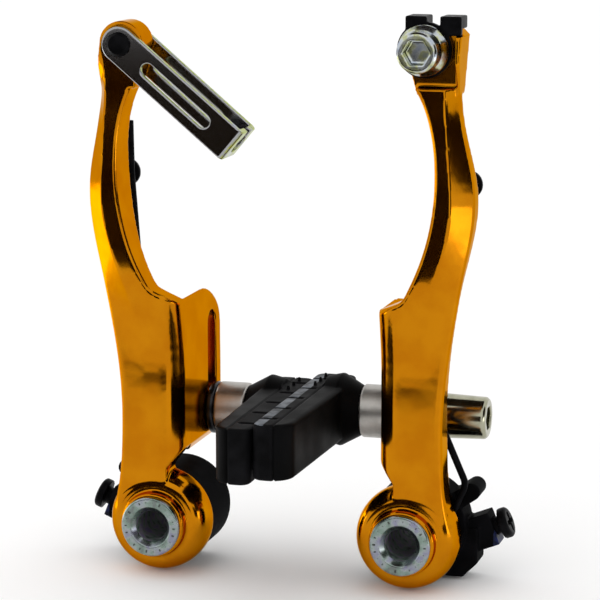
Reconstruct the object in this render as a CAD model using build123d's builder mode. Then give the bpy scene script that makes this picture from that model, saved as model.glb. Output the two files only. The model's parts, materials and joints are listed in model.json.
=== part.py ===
from build123d import *
import os

# Linear-pull rim brake: two mirrored arms on posts, each with a sprung, adjustable pad.
# x runs across the wheel, y runs from the rider's side to the fork, z is up, in millimetres.
# The origin lies midway between the posts, on the plane where the bushes meet the fork.
# Every piece is drawn for the left post; the right-hand ones are mirrored about the yz plane.
# Depth is counted backwards from the front face of the bush.

# Posts and bushes
PIVOT_SPACING = 57.6
BUSH_LENGTH = 27.0
FLANGE_RADIUS = 6.8
FLANGE_THICKNESS = 1.2
FLANGE_BREAK = 0.3
BARREL_RADIUS = 5.5
POST_BORE_RADIUS = 4.05
LIP_LENGTH = 4.4
LIP_RADIUS = 3.5
MOUTH_RADIUS = 4.7
MOUTH_DEPTH = 1.4

# Arm boss
RUNNING_CLEARANCE = 0.05
COLLAR_RADIUS = 7.4
COLLAR_GAP = 0.1
COLLAR_BREAK = 0.4
BOSS_FRONT = 4.0
BOSS_PROUD = 0.25
BOSS_BACK = 11.5
BOSS_RADIUS = 11.7
BOSS_FLAT_RADIUS = 8.4
BOSS_BULGE_DEPTH = 9.0
BOSS_BACK_BREAK = 0.8

# Arm blade, seen from the front: positions inward of the post axis and heights above it
CABLE_HEIGHT = 108.3
CABLE_OFFSET = -5.1
NECK_DROP = 8.0
NECK_OUTER = -11.6
NECK_INNER = -2.4
NECK_LEAN = 0.6
BELLY_HEIGHT = 75.0
BELLY_OUTER = -14.9
BELLY_INNER_HEIGHT = 81.0
BELLY_INNER = -6.9
MID_HEIGHT = 55.0
MID_OUTER = -11.7
MID_LEAN = 0.17
WAIST_HEIGHT = 25.0
WAIST_OUTER = -8.1
SHOULDER_OUTER = -10.3
SHOULDER_HEIGHT = 3.0
SHOULDER_LEAN = 0.3
FOOT_DROP = 5.0
FOOT_OUTER = -6.0
FOOT_INNER = 2.6
BLADE_BACK = 9.2
HOLLOW_BACK = 6.6
HOLLOW_HEIGHT = 54.0
EDGE_DEPTH = 4.5
FOOT_CROWN = 0.2
EDGE_ROUND = 1.4
EDGE_BEVEL = 0.7
RIDGE_FOOT = -2.5
RIDGE_FOOT_HEIGHT = 40.0
RIDGE_BELLY = -10.6
RIDGE_NECK = -9.3
BOW_START = 36.0
BOW_END = 62.0
FACET_ROWS = 28
FACET_MARGIN = 4.0
FACET_REACH = 40.0

# Wing that carries the pad
WING_FACE = 6.1
WING_THICKNESS = 6.0
WING_TOP = 51.4
WING_FALL = 4.5
WING_CREST = 16.0
WING_BRINK = 26.5
WING_SAG = 1.6
WING_HEEL_HEIGHT = 32.0
WING_HEEL_LEAN = 3.3
WING_HEEL_DROP = 4.4
WING_OVERHANG = 6.5
WING_BOTTOM = 17.0
WING_SOLE = 14.4
WING_NOTCH_HEIGHT = 12.6
WING_CORNER = 4.8
CORNER_LEAD = 0.25
LEDGE_RISE = 2.0
LEDGE_RUN = 4.6
THROAT_HEIGHT = 5.8
THROAT_LEAN = 0.5
SLOT_WIDTH = 6.2
SLOT_LENGTH = 26.4
SLOT_TOP = 45.0

# Pad, stud and nut
STUD_HEIGHT = 22.0
PAD_LIFT = 1.4
STUD_SETBACK = 6.2
STUD_RADIUS = 2.95
STUD_CLEARANCE = 0.05
STUD_IN_PAD = 7.0
STUD_END_GAP = 0.5
THIN_WASHER = 1.8
SPACER_LENGTH = 7.3
WASHER_RADIUS = 6.1
WASHER_BREAK = 0.4
OUTER_WASHER = 1.6
PAD_GAP = 0.5
PAD_NOSE = 45.5
PAD_TAIL = 9.5
PAD_HEIGHT = 12.4
PAD_END_THICKNESS = 8.4
PAD_MIDDLE_THICKNESS = 9.6
PAD_CORNER = 2.4
PAD_NOSE_CORNER = 5.0
PAD_EDGE = 0.8
HUB_FACE_RADIUS = 5.6
HUB_RADIUS = 8.4
HUB_CONE = 5.0
GROOVE_COUNT = 5
GROOVE_WIDTH = 1.0
GROOVE_DEPTH = 4.0
GROOVE_PITCH = 10.5
NUT_LENGTH = 12.4
NUT_RADIUS = 5.2
NUT_END_RADIUS = 4.8
NUT_BREAK = 0.6
NUT_THREAD_DEPTH = 9.0
HEX_SOCKET = 5.0
SOCKET_DEPTH = 2.6

# Spring housing and adjuster
HOUSING_GAP = 0.5
HOUSING_RADIUS = 11.0
HOUSING_WALL = 1.4
HOUSING_FLOOR = 2.0
SEAT_CLEARANCE = 0.02
COIL_PLAY = 1.1
WINDOW_PLAY = 1.0
BLOCK_SETBACK = 0.8
ADJUSTER_ANGLE = 22.0
ADJUSTER_HEIGHT = -3.7
ADJUSTER_FROM = -8.0
BLOCK_END = 9.6
BLOCK_WIDTH = 7.6
BLOCK_DEPTH = 6.0
BRACKET_REACH = 13.6
BRACKET_DROP = 11.4
BRACKET_SLANT = 3.4
BRACKET_START = -4.0
WINDOW_REACH = 22.0
WINDOW_SIDE = -8.0
WINDOW_FOOT = -2.0
TAB_RADIUS = 2.0
TAB_OFFSET = -12.0
TAB_HEIGHT = 8.4
SCREW_RADIUS = 2.0
SCREW_CLEARANCE = 0.05
SCREW_LENGTH = 7.0
SCREW_GAP = 1.5
SCREW_HEAD_RADIUS = 3.5
SCREW_HEAD_THICKNESS = 2.0
SCREW_HEAD_BREAK = 0.5
DRIVER_SLOT = 1.0
DRIVER_SLOT_LENGTH = 4.4
DRIVER_SLOT_DEPTH = 1.0

# Return spring and its pin
WIRE_RADIUS = 0.8
COIL_RADIUS = 8.0
COIL_TURNS = 3
COIL_PITCH = 2.1
LEG_DEPTH = 15.8
LEG_KICK_OFFSET = -11.4
LEG_KICK_HEIGHT = 11.0
LEG_RETURN_OFFSET = -5.0
LEG_RETURN_HEIGHT = 25.5
LEG_START = 3.0
LEG_BEND = 3.0
LEG_TOP_BEND = 12.0
LEG_OVERRUN = 12.0
LEG_LEAN = 0.2
PIN_HEIGHT = 77.8
PIN_OFFSET = -10.7
PIN_RADIUS = 1.0
PIN_TOUCH = 0.02
PIN_HEAD_RADIUS = 3.2
PIN_HEAD_GAP = 0.8
PIN_HEAD_THICKNESS = 2.4
PIN_HEAD_RIM = 1.0
PIN_HEAD_CROWN = 1.8
PIN_IN_ARM = 4.0

# Head of the left arm, cable link and rivet
KNOB_RADIUS = 5.0
KNOB_FRONT = -1.0
KNOB_BACK = 6.6
LINK_SHEET = 1.3
LINK_PLAY = 0.1
LINK_WIDTH = 7.8
LINK_REACH = 33.4
LINK_FALL = 40.0
LINK_SLOT_WIDTH = 3.0
LINK_SLOT_START = 7.0
LINK_SLOT_END = 26.5
NOODLE_RADIUS = 2.3
NOODLE_GATE = 2.4
RIVET_RADIUS = 2.0
RIVET_HEAD_RADIUS = 2.9
RIVET_HEAD_HEIGHT = 1.0
RIVET_CROWN_RADIUS = 2.0
RIVET_PLAY = 0.05
RIVET_FIT = 0.03

# Head of the right arm, anchor plate and bolt
HEAD_TOP = 4.4
HEAD_INNER = 0.4
HEAD_OUTER = -12.6
HEAD_CORNER = 1.4
HEAD_LAP = 1.6
SEAT_DEPTH = 3.0
HEAD_BACK = 9.0
WALL_WIDTH = 1.3
WALL_FRONT = -0.4
WALL_RISE = 7.0
PLATE_THICKNESS = 1.6
PLATE_RADIUS = 6.0
HORN_SHIFT = -1.9
HORN_WIDTH = 4.6
HORN_GAP = 2.9
HORN_RISE = 7.2
HORN_LENGTH = 6.4
HORN_PLAY = 0.1
BOLT_SHIFT = 0.8
BOLT_RADIUS = 3.0
BOLT_CLEARANCE = 0.05
BOLT_LENGTH = 6.0
BOLT_FLANGE_RADIUS = 5.5
BOLT_FLANGE_THICKNESS = 1.2
BOLT_HEAD_RADIUS = 4.4
BOLT_HEAD_HEIGHT = 6.4
BOLT_FLARE = 1.8
BOLT_HEAD_BREAK = 0.5

# Values worked out from the ones above
POST_X = -PIVOT_SPACING / 2
FRONT_Y = -BUSH_LENGTH
NECK_HEIGHT = CABLE_HEIGHT - NECK_DROP
ANCHOR_OFFSET = CABLE_OFFSET + BOLT_SHIFT
PAD_FACE = PIVOT_SPACING / 2 - PAD_GAP / 2
SPACER_FACE = WING_FACE + THIN_WASHER
HUB_FACE = SPACER_FACE + SPACER_LENGTH
WING_OUTER = WING_FACE - WING_THICKNESS
NUT_FACE = WING_OUTER - OUTER_WASHER
BOSS_FACE = BOSS_FRONT - BOSS_PROUD
COLLAR_FACE = FLANGE_THICKNESS + COLLAR_GAP
PIN_SEAT = BLADE_BACK - PIN_IN_ARM
LEG_BACK = LEG_DEPTH + WIRE_RADIUS
PIN_HEAD_FRONT = LEG_BACK + PIN_HEAD_GAP
WINDOW_BACK = LEG_BACK + WINDOW_PLAY
BLOCK_FRONT = WINDOW_BACK + BLOCK_SETBACK
HOUSING_FRONT = BOSS_BACK + HOUSING_GAP
HOUSING_BACK = LEG_BACK + COIL_TURNS * COIL_PITCH + COIL_PLAY + HOUSING_FLOOR
ADJUSTER_DEPTH = HOUSING_BACK - BLOCK_DEPTH / 2
STUD_DEPTH = LEG_BACK + STUD_SETBACK + NUT_RADIUS
WING_BACK = STUD_DEPTH + WING_OVERHANG
PAD_FRONT = STUD_DEPTH - PAD_NOSE
PAD_BACK = STUD_DEPTH + PAD_TAIL
NUT_END = NUT_FACE - NUT_LENGTH
STUD_HOLE_RADIUS = STUD_RADIUS + STUD_CLEARANCE
LINK_FRONT = KNOB_FRONT - LINK_PLAY - LINK_SHEET
LINK_BACK = KNOB_BACK + LINK_PLAY + LINK_SHEET
PLATE_FRONT = SEAT_DEPTH - PLATE_THICKNESS
LEG_AT_PIN = PIN_OFFSET + PIN_RADIUS + WIRE_RADIUS + PIN_TOUCH


def front_plane(depth):
    """Sketch plane on the post axis that faces the front: x inward, y up."""
    return Plane(origin=(POST_X, FRONT_Y + depth, 0), x_dir=(1, 0, 0), z_dir=(0, -1, 0))


def level_plane(height):
    """Sketch plane at a height above the post axis: x inward, y backwards in depth."""
    return Plane(origin=(POST_X, FRONT_Y, height), x_dir=(1, 0, 0), z_dir=(0, 0, 1))


def depth_axis_plane(offset, height):
    """Section plane of a piece turned about a front-to-back axis: x is depth, y is radius."""
    return Plane(origin=(POST_X + offset, FRONT_Y, height), x_dir=(0, 1, 0), z_dir=(1, 0, 0))


def outline(plane, *points):
    """Flat face bounded by straight lines through the points."""
    with BuildSketch(plane) as flat:
        with BuildLine():
            Polyline(*points, close=True)
        make_face()
    return flat.sketch


def turned(plane, *profile):
    """Revolve (distance, radius) points about the plane's x axis into the part being built."""
    revolve(outline(plane, *profile), axis=Axis(plane.origin, plane.x_dir))


def ease(value, start, end):
    """Smooth rise from 0 at the start to 1 at the end."""
    share = min(max((value - start) / (end - start), 0), 1)
    return share * share * (3 - 2 * share)


def spot(inward, depth, height):
    """Point given by its distance inward of the post, its depth and its height."""
    return Vector(POST_X + inward, FRONT_Y + depth, height)


POST_SECTION = depth_axis_plane(0, 0)
POST_AXIS = Axis(POST_SECTION.origin, POST_SECTION.x_dir)
SLOT_PLANE = Plane(
    origin=(POST_X + WING_FACE, FRONT_Y + STUD_DEPTH, 0), x_dir=(0, 1, 0), z_dir=(1, 0, 0)
)
STUD_SECTION = Plane(
    origin=(POST_X, FRONT_Y + STUD_DEPTH, STUD_HEIGHT), x_dir=(1, 0, 0), z_dir=(0, -1, 0)
)

STUD_AXIS = Axis(STUD_SECTION.origin, STUD_SECTION.x_dir)
WALL_SIDE = Plane(origin=spot(HEAD_OUTER - WALL_WIDTH, 0, 0), x_dir=(0, 1, 0), z_dir=(1, 0, 0))
PAD_FACE_PLANE = Plane(
    origin=spot(PAD_FACE, (PAD_FRONT + PAD_BACK) / 2, STUD_HEIGHT), x_dir=(0, 1, 0), z_dir=(1, 0, 0)
)
adjuster_tilt = Vector(-1, 0, 0).rotate(Axis.Y, ADJUSTER_ANGLE)
ADJUSTER_SECTION = Plane(
    origin=spot(ADJUSTER_FROM, ADJUSTER_DEPTH, ADJUSTER_HEIGHT), x_dir=adjuster_tilt, z_dir=(0, 1, 0)
)
ADJUSTER_END = Plane(
    origin=ADJUSTER_SECTION.origin + adjuster_tilt * BLOCK_END, x_dir=(0, 1, 0), z_dir=adjuster_tilt
)
link_run = Vector(1, 0, 0).rotate(Axis.Y, LINK_FALL)


def link_plane(depth):
    """Sketch plane facing the front with its origin on the rivet and x along the link."""
    return Plane(origin=spot(CABLE_OFFSET, depth, CABLE_HEIGHT), x_dir=link_run, z_dir=(0, -1, 0))


LINK_END = Plane(
    origin=spot(CABLE_OFFSET, (LINK_FRONT + LINK_BACK) / 2, CABLE_HEIGHT) + link_run * LINK_REACH,
    x_dir=(0, 1, 0),
    z_dir=link_run,
)

# Pivot bush: flanged sleeve that slides on the post, closed down to a bolt hole at the front
with BuildPart() as pivot_bush:
    turned(
        POST_SECTION,
        (0, MOUTH_RADIUS),
        (0, FLANGE_RADIUS - FLANGE_BREAK),
        (FLANGE_BREAK, FLANGE_RADIUS),
        (FLANGE_THICKNESS, FLANGE_RADIUS),
        (FLANGE_THICKNESS, BARREL_RADIUS),
        (BUSH_LENGTH, BARREL_RADIUS),
        (BUSH_LENGTH, POST_BORE_RADIUS),
        (LIP_LENGTH, POST_BORE_RADIUS),
        (LIP_LENGTH, LIP_RADIUS),
        (MOUTH_DEPTH, LIP_RADIUS),
    )

# Seen from the front, the arm's blade and wing share one outline
with BuildSketch(front_plane(-FACET_MARGIN)) as arm_outline:
    with BuildLine():
        Spline(
            (NECK_OUTER, NECK_HEIGHT),
            (BELLY_OUTER, BELLY_HEIGHT),
            (MID_OUTER, MID_HEIGHT),
            (WAIST_OUTER, WAIST_HEIGHT),
            (SHOULDER_OUTER, SHOULDER_HEIGHT),
            tangents=((0, -1), (0, -1), (MID_LEAN, -1), (0, -1), (-SHOULDER_LEAN, -1)),
        )
        Polyline(
            (SHOULDER_OUTER, SHOULDER_HEIGHT),
            (FOOT_OUTER, -FOOT_DROP),
            (FOOT_INNER, -FOOT_DROP),
            (FOOT_INNER, WING_NOTCH_HEIGHT),
            (WING_FACE, WING_BOTTOM),
            (WING_FACE, WING_TOP),
            (WING_FACE - LEDGE_RUN, WING_TOP + LEDGE_RISE),
        )
        Spline(
            (WING_FACE - LEDGE_RUN, WING_TOP + LEDGE_RISE),
            (WING_FACE - LEDGE_RUN - THROAT_HEIGHT / 2, WING_TOP + THROAT_HEIGHT),
            (BELLY_INNER, BELLY_INNER_HEIGHT),
            (NECK_INNER, NECK_HEIGHT),
            tangents=((-LEDGE_RUN, LEDGE_RISE), (-THROAT_LEAN, 1), (0, 1), (NECK_LEAN, 1)),
        )
        Line((NECK_INNER, NECK_HEIGHT), (NECK_OUTER, NECK_HEIGHT))
    make_face()

# Front of the blade: a flat band runs up from the wing's rounded corner and bows forward, and a
# facet falls back from the ridge beside it to the outer edge
def facet_row(height):
    """Outer edge, ridge and band depth of the blade's front at a height."""
    to_belly = ease(height, WAIST_HEIGHT, BELLY_HEIGHT)
    to_neck = ease(height, BELLY_HEIGHT, NECK_HEIGHT)
    edge = WAIST_OUTER + (BELLY_OUTER - WAIST_OUTER) * to_belly + (NECK_OUTER - BELLY_OUTER) * to_neck
    climb = ease(height, RIDGE_FOOT_HEIGHT, BELLY_HEIGHT)
    ridge = RIDGE_FOOT + (RIDGE_BELLY - RIDGE_FOOT) * climb + (RIDGE_NECK - RIDGE_BELLY) * to_neck
    bow = ease(height, BOW_START, BOW_END)
    to_head = ease(height, NECK_HEIGHT - HEAD_LAP, CABLE_HEIGHT - KNOB_RADIUS / 2)
    band = BOSS_FRONT * (1 - bow) + KNOB_FRONT * to_head
    foot_drop = BOSS_FRONT + FOOT_CROWN
    head_drop = KNOB_FRONT + FOOT_CROWN
    drop = foot_drop + (EDGE_DEPTH - foot_drop) * bow + (head_drop - EDGE_DEPTH) * to_head
    return edge, ridge, band, drop


facet_low = -2 * BOSS_RADIUS
facet_step = (CABLE_HEIGHT + 2 * KNOB_RADIUS - facet_low) / FACET_ROWS
with BuildPart() as facet_cutter:
    for row in range(FACET_ROWS + 1):
        height = facet_low + row * facet_step
        edge, ridge, band, drop = facet_row(height)
        slope = (drop - band) / (ridge - edge)
        outside = BELLY_OUTER - FACET_MARGIN
        inside = WING_FACE + FACET_MARGIN
        with BuildSketch(level_plane(height)):
            with BuildLine():
                Polyline(
                    (inside, band + WING_CORNER),
                    (inside, -FACET_REACH),
                    (outside, -FACET_REACH),
                    (outside, band + slope * (ridge - outside)),
                    (ridge, band),
                    (WING_FACE - WING_CORNER, band),
                )
                TangentArc(
                    (WING_FACE - WING_CORNER, band),
                    (WING_FACE + CORNER_LEAD, band + WING_CORNER),
                    tangent=(1, 0),
                )
                Line((WING_FACE + CORNER_LEAD, band + WING_CORNER), (inside, band + WING_CORNER))
            make_face()
    loft()

# Room that the arm fills behind its front: the blade as far as its hollow back, and a slab for
# the wing. The slab's top falls away outwards and rounds over into a leaning back edge
with BuildPart() as wing:
    with BuildSketch(front_plane(0)):
        with BuildLine():
            Polyline(
                (WING_FACE + FACET_MARGIN, WING_SOLE),
                (WING_FACE + FACET_MARGIN, WING_TOP + WING_FALL * FACET_MARGIN / WING_THICKNESS),
                (WING_OUTER, WING_TOP - WING_FALL),
                (WING_OUTER, WING_SOLE),
                close=True,
            )
        make_face()
    extrude(amount=-(WING_BACK + FACET_MARGIN))
    with BuildSketch(POST_SECTION):
        with BuildLine():
            Spline(
                (WING_CREST, WING_TOP),
                (WING_BRINK, WING_TOP - WING_SAG),
                (WING_BACK - WING_HEEL_LEAN, WING_TOP - WING_HEEL_DROP),
                (WING_BACK, WING_HEEL_HEIGHT),
                tangents=((1, 0), (0, -1)),
            )
            Polyline(
                (WING_BACK, WING_HEEL_HEIGHT),
                (WING_BACK, WING_SOLE),
                (WING_CREST, WING_SOLE),
                (BOSS_BACK, WING_BOTTOM),
                (0, WING_BOTTOM),
                (0, 2 * WING_TOP),
                (WING_CREST, 2 * WING_TOP),
                (WING_CREST, WING_TOP),
            )
        make_face()
    extrude(amount=FACET_REACH, both=True, mode=Mode.INTERSECT)

with BuildPart() as arm_room:
    with BuildSketch(POST_SECTION):
        with BuildLine():
            Spline(
                (KNOB_BACK, NECK_HEIGHT),
                (BLADE_BACK, BELLY_HEIGHT),
                (HOLLOW_BACK, HOLLOW_HEIGHT),
                (BOSS_BACK, WING_BOTTOM),
                tangents=((0, -1), (0, -1), (0, -1), (0, -1)),
            )
            Polyline(
                (BOSS_BACK, WING_BOTTOM),
                (BOSS_BACK, -BOSS_RADIUS),
                (-BOSS_BACK, -BOSS_RADIUS),
                (-BOSS_BACK, NECK_HEIGHT),
                (KNOB_BACK, NECK_HEIGHT),
            )
        make_face()
    extrude(amount=FACET_REACH, both=True)
    add(wing.part)

# Arm common to both sides: blade, wing, boss and bore
with BuildPart() as arm_blank:
    extrude(arm_outline.sketch, amount=-(WING_BACK + 2 * FACET_MARGIN))
    add(facet_cutter.part, mode=Mode.SUBTRACT)
    crown = arm_blank.edges().sort_by_distance(spot(BELLY_OUTER, EDGE_DEPTH, BELLY_HEIGHT))[0]
    fillet(crown, EDGE_ROUND)
    blade_edge = spot(BELLY_INNER, 0, BELLY_INNER_HEIGHT)
    chamfer(arm_blank.edges().sort_by_distance(blade_edge)[0], EDGE_BEVEL)
    add(arm_room.part, mode=Mode.INTERSECT)
    with BuildSketch(POST_SECTION):
        with BuildLine():
            Polyline(
                (BOSS_FACE, BOSS_FLAT_RADIUS),
                (BOSS_FACE, COLLAR_RADIUS),
                (COLLAR_FACE + COLLAR_BREAK, COLLAR_RADIUS),
                (COLLAR_FACE, COLLAR_RADIUS - COLLAR_BREAK),
                (COLLAR_FACE, 0),
                (BOSS_BACK, 0),
                (BOSS_BACK, BOSS_RADIUS - BOSS_BACK_BREAK),
                (BOSS_BACK - BOSS_BACK_BREAK, BOSS_RADIUS),
                (BOSS_BULGE_DEPTH, BOSS_RADIUS),
            )
            EllipticalCenterArc(
                (BOSS_BULGE_DEPTH, BOSS_FLAT_RADIUS),
                BOSS_BULGE_DEPTH - BOSS_FACE,
                BOSS_RADIUS - BOSS_FLAT_RADIUS,
                start_angle=90,
                arc_size=90,
            )
        make_face()
    revolve(axis=POST_AXIS)
    with BuildSketch(front_plane(BOSS_BACK)):
        Circle(BARREL_RADIUS + RUNNING_CLEARANCE)
    extrude(amount=BUSH_LENGTH, mode=Mode.SUBTRACT)
    with BuildSketch(SLOT_PLANE):
        with Locations((0, SLOT_TOP - SLOT_LENGTH / 2)):
            SlotOverall(SLOT_LENGTH, SLOT_WIDTH, rotation=90)
    extrude(amount=2 * WING_THICKNESS, both=True, mode=Mode.SUBTRACT)
    with BuildSketch(front_plane(PIN_SEAT)):
        with Locations((PIN_OFFSET, PIN_HEIGHT)):
            Circle(PIN_RADIUS + PIN_TOUCH)
    extrude(amount=-BOSS_BACK, mode=Mode.SUBTRACT)

# Head of the left arm: a round tongue that the cable link straddles
with BuildPart() as tongue:
    with BuildSketch(front_plane(KNOB_BACK)):
        with Locations((CABLE_OFFSET, CABLE_HEIGHT)):
            Circle(KNOB_RADIUS)
        with BuildLine():
            Polyline(
                (CABLE_OFFSET - KNOB_RADIUS, CABLE_HEIGHT),
                (CABLE_OFFSET + KNOB_RADIUS, CABLE_HEIGHT),
                (NECK_INNER, NECK_HEIGHT - HEAD_LAP),
                (NECK_OUTER, NECK_HEIGHT - HEAD_LAP),
                close=True,
            )
        make_face()
    extrude(amount=KNOB_BACK + FACET_MARGIN)
    add(facet_cutter.part, mode=Mode.SUBTRACT)
    with BuildSketch(front_plane(KNOB_BACK)):
        with Locations((CABLE_OFFSET, CABLE_HEIGHT)):
            Circle(RIVET_RADIUS + RIVET_FIT)
    extrude(amount=KNOB_BACK + FACET_MARGIN, mode=Mode.SUBTRACT)

with BuildPart() as left_arm:
    add(arm_blank.part)
    add(tongue.part)

# Arm for the right side, drawn as its mirror image: a seat for the cable anchor behind a wall
with BuildPart() as anchor_arm:
    add(arm_blank.part)
    with BuildSketch(front_plane(HEAD_BACK)):
        with BuildLine():
            Polyline(
                (NECK_OUTER, NECK_HEIGHT - HEAD_LAP),
                (HEAD_OUTER, CABLE_HEIGHT + HEAD_TOP - HEAD_CORNER),
                (HEAD_OUTER + HEAD_CORNER, CABLE_HEIGHT + HEAD_TOP),
                (HEAD_INNER - HEAD_CORNER, CABLE_HEIGHT + HEAD_TOP),
                (HEAD_INNER, CABLE_HEIGHT),
                (NECK_INNER, NECK_HEIGHT - HEAD_LAP),
                close=True,
            )
        make_face()
    extrude(amount=HEAD_BACK - SEAT_DEPTH)
    with BuildSketch(front_plane(SEAT_DEPTH)):
        with BuildLine():
            Polyline(
                (NECK_OUTER, NECK_HEIGHT - HEAD_LAP),
                (HEAD_OUTER, CABLE_HEIGHT + HEAD_TOP - HEAD_CORNER),
                (HEAD_OUTER + WALL_WIDTH, CABLE_HEIGHT + HEAD_TOP - HEAD_CORNER),
                (HEAD_OUTER + WALL_WIDTH, NECK_HEIGHT - HEAD_LAP),
                close=True,
            )
        make_face()
    extrude(amount=SEAT_DEPTH - WALL_FRONT)
    with BuildSketch(WALL_SIDE):
        with BuildLine():
            Polyline(
                (WALL_FRONT, NECK_HEIGHT - HEAD_LAP),
                (SEAT_DEPTH, NECK_HEIGHT - HEAD_LAP),
                (WALL_FRONT, NECK_HEIGHT - HEAD_LAP + WALL_RISE),
                close=True,
            )
        make_face()
    extrude(amount=2 * WALL_WIDTH, mode=Mode.SUBTRACT)
    with BuildSketch(front_plane(SEAT_DEPTH)):
        with Locations((ANCHOR_OFFSET, CABLE_HEIGHT)):
            Circle(BOLT_RADIUS + BOLT_CLEARANCE)
    extrude(amount=-(HEAD_BACK - SEAT_DEPTH), mode=Mode.SUBTRACT)

# Brake pad: moulded block with a round hub at the back and grooves across its face
with BuildPart() as brake_pad:
    with BuildSketch(level_plane(STUD_HEIGHT - PAD_HEIGHT / 2)) as pad_plan:
        with BuildLine():
            Polyline(
                (PAD_FACE, PAD_FRONT),
                (PAD_FACE, PAD_BACK),
                (PAD_FACE - PAD_MIDDLE_THICKNESS, PAD_BACK),
                (PAD_FACE - PAD_MIDDLE_THICKNESS, STUD_DEPTH - HUB_RADIUS),
                (PAD_FACE - PAD_END_THICKNESS, PAD_FRONT),
                close=True,
            )
        make_face()
        nose = pad_plan.vertices().group_by(Axis.Y)[0].sort_by(Axis.X)
        fillet(nose[0], PAD_NOSE_CORNER)
    extrude(amount=PAD_HEIGHT)
    upright = brake_pad.edges().filter_by(Axis.Z).group_by(Axis.Y)
    fillet(upright[0].sort_by(Axis.X)[-1:] + upright[-1], PAD_CORNER)
    fillet(brake_pad.faces().filter_by(Axis.Z).edges(), PAD_EDGE)
    with BuildSketch(STUD_SECTION):
        with BuildLine():
            Polyline(
                (HUB_FACE, 0),
                (HUB_FACE, HUB_FACE_RADIUS),
                (HUB_FACE + HUB_CONE, HUB_RADIUS),
                (PAD_FACE - PAD_EDGE - GROOVE_DEPTH, HUB_RADIUS - PAD_EDGE),
                (PAD_FACE - PAD_EDGE - GROOVE_DEPTH, 0),
                close=True,
            )
        make_face()
    revolve(axis=STUD_AXIS)
    with BuildSketch(PAD_FACE_PLANE):
        with GridLocations(GROOVE_PITCH, PAD_HEIGHT, GROOVE_COUNT, 1):
            Rectangle(GROOVE_WIDTH, 2 * PAD_HEIGHT)
    extrude(amount=-GROOVE_DEPTH, mode=Mode.SUBTRACT)
    with BuildSketch(STUD_SECTION):
        with BuildLine():
            Polyline(
                (HUB_FACE, 0),
                (HUB_FACE, STUD_HOLE_RADIUS),
                (HUB_FACE + STUD_IN_PAD, STUD_HOLE_RADIUS),
                (HUB_FACE + STUD_IN_PAD, 0),
                close=True,
            )
        make_face()
    revolve(axis=STUD_AXIS, mode=Mode.SUBTRACT)

# Stud through the wing's slot, from the pad's hub to the nut
with BuildPart() as pad_stud:
    stud_start = NUT_FACE - NUT_THREAD_DEPTH + STUD_END_GAP
    stud_end = HUB_FACE + STUD_IN_PAD
    turned(
        STUD_SECTION,
        (stud_start, 0),
        (stud_start, STUD_RADIUS),
        (stud_end, STUD_RADIUS),
        (stud_end, 0),
    )


def stud_washer(start, thickness):
    """Turn a washer with broken outer edges on the stud."""
    end = start + thickness
    turned(
        STUD_SECTION,
        (start, STUD_HOLE_RADIUS),
        (start, WASHER_RADIUS - WASHER_BREAK),
        (start + WASHER_BREAK, WASHER_RADIUS),
        (end - WASHER_BREAK, WASHER_RADIUS),
        (end, WASHER_RADIUS - WASHER_BREAK),
        (end, STUD_HOLE_RADIUS),
    )


with BuildPart() as inner_washer:
    stud_washer(WING_FACE, THIN_WASHER)

with BuildPart() as pad_spacer:
    stud_washer(SPACER_FACE, SPACER_LENGTH)

with BuildPart() as outer_washer:
    stud_washer(NUT_FACE, OUTER_WASHER)

# Barrel nut, closed at its outer end, with a hexagon socket
with BuildPart() as pad_nut:
    turned(
        STUD_SECTION,
        (NUT_FACE, STUD_HOLE_RADIUS),
        (NUT_FACE, NUT_RADIUS),
        (NUT_END + NUT_BREAK, NUT_END_RADIUS),
        (NUT_END, NUT_END_RADIUS - NUT_BREAK),
        (NUT_END, 0),
        (NUT_FACE - NUT_THREAD_DEPTH, 0),
        (NUT_FACE - NUT_THREAD_DEPTH, STUD_HOLE_RADIUS),
    )
    with BuildSketch(Plane(STUD_SECTION.origin + Vector(NUT_END, 0, 0), (0, 1, 0), (-1, 0, 0))):
        RegularPolygon(HEX_SOCKET / 2, 6, major_radius=False)
    extrude(amount=-SOCKET_DEPTH, mode=Mode.SUBTRACT)

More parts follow.
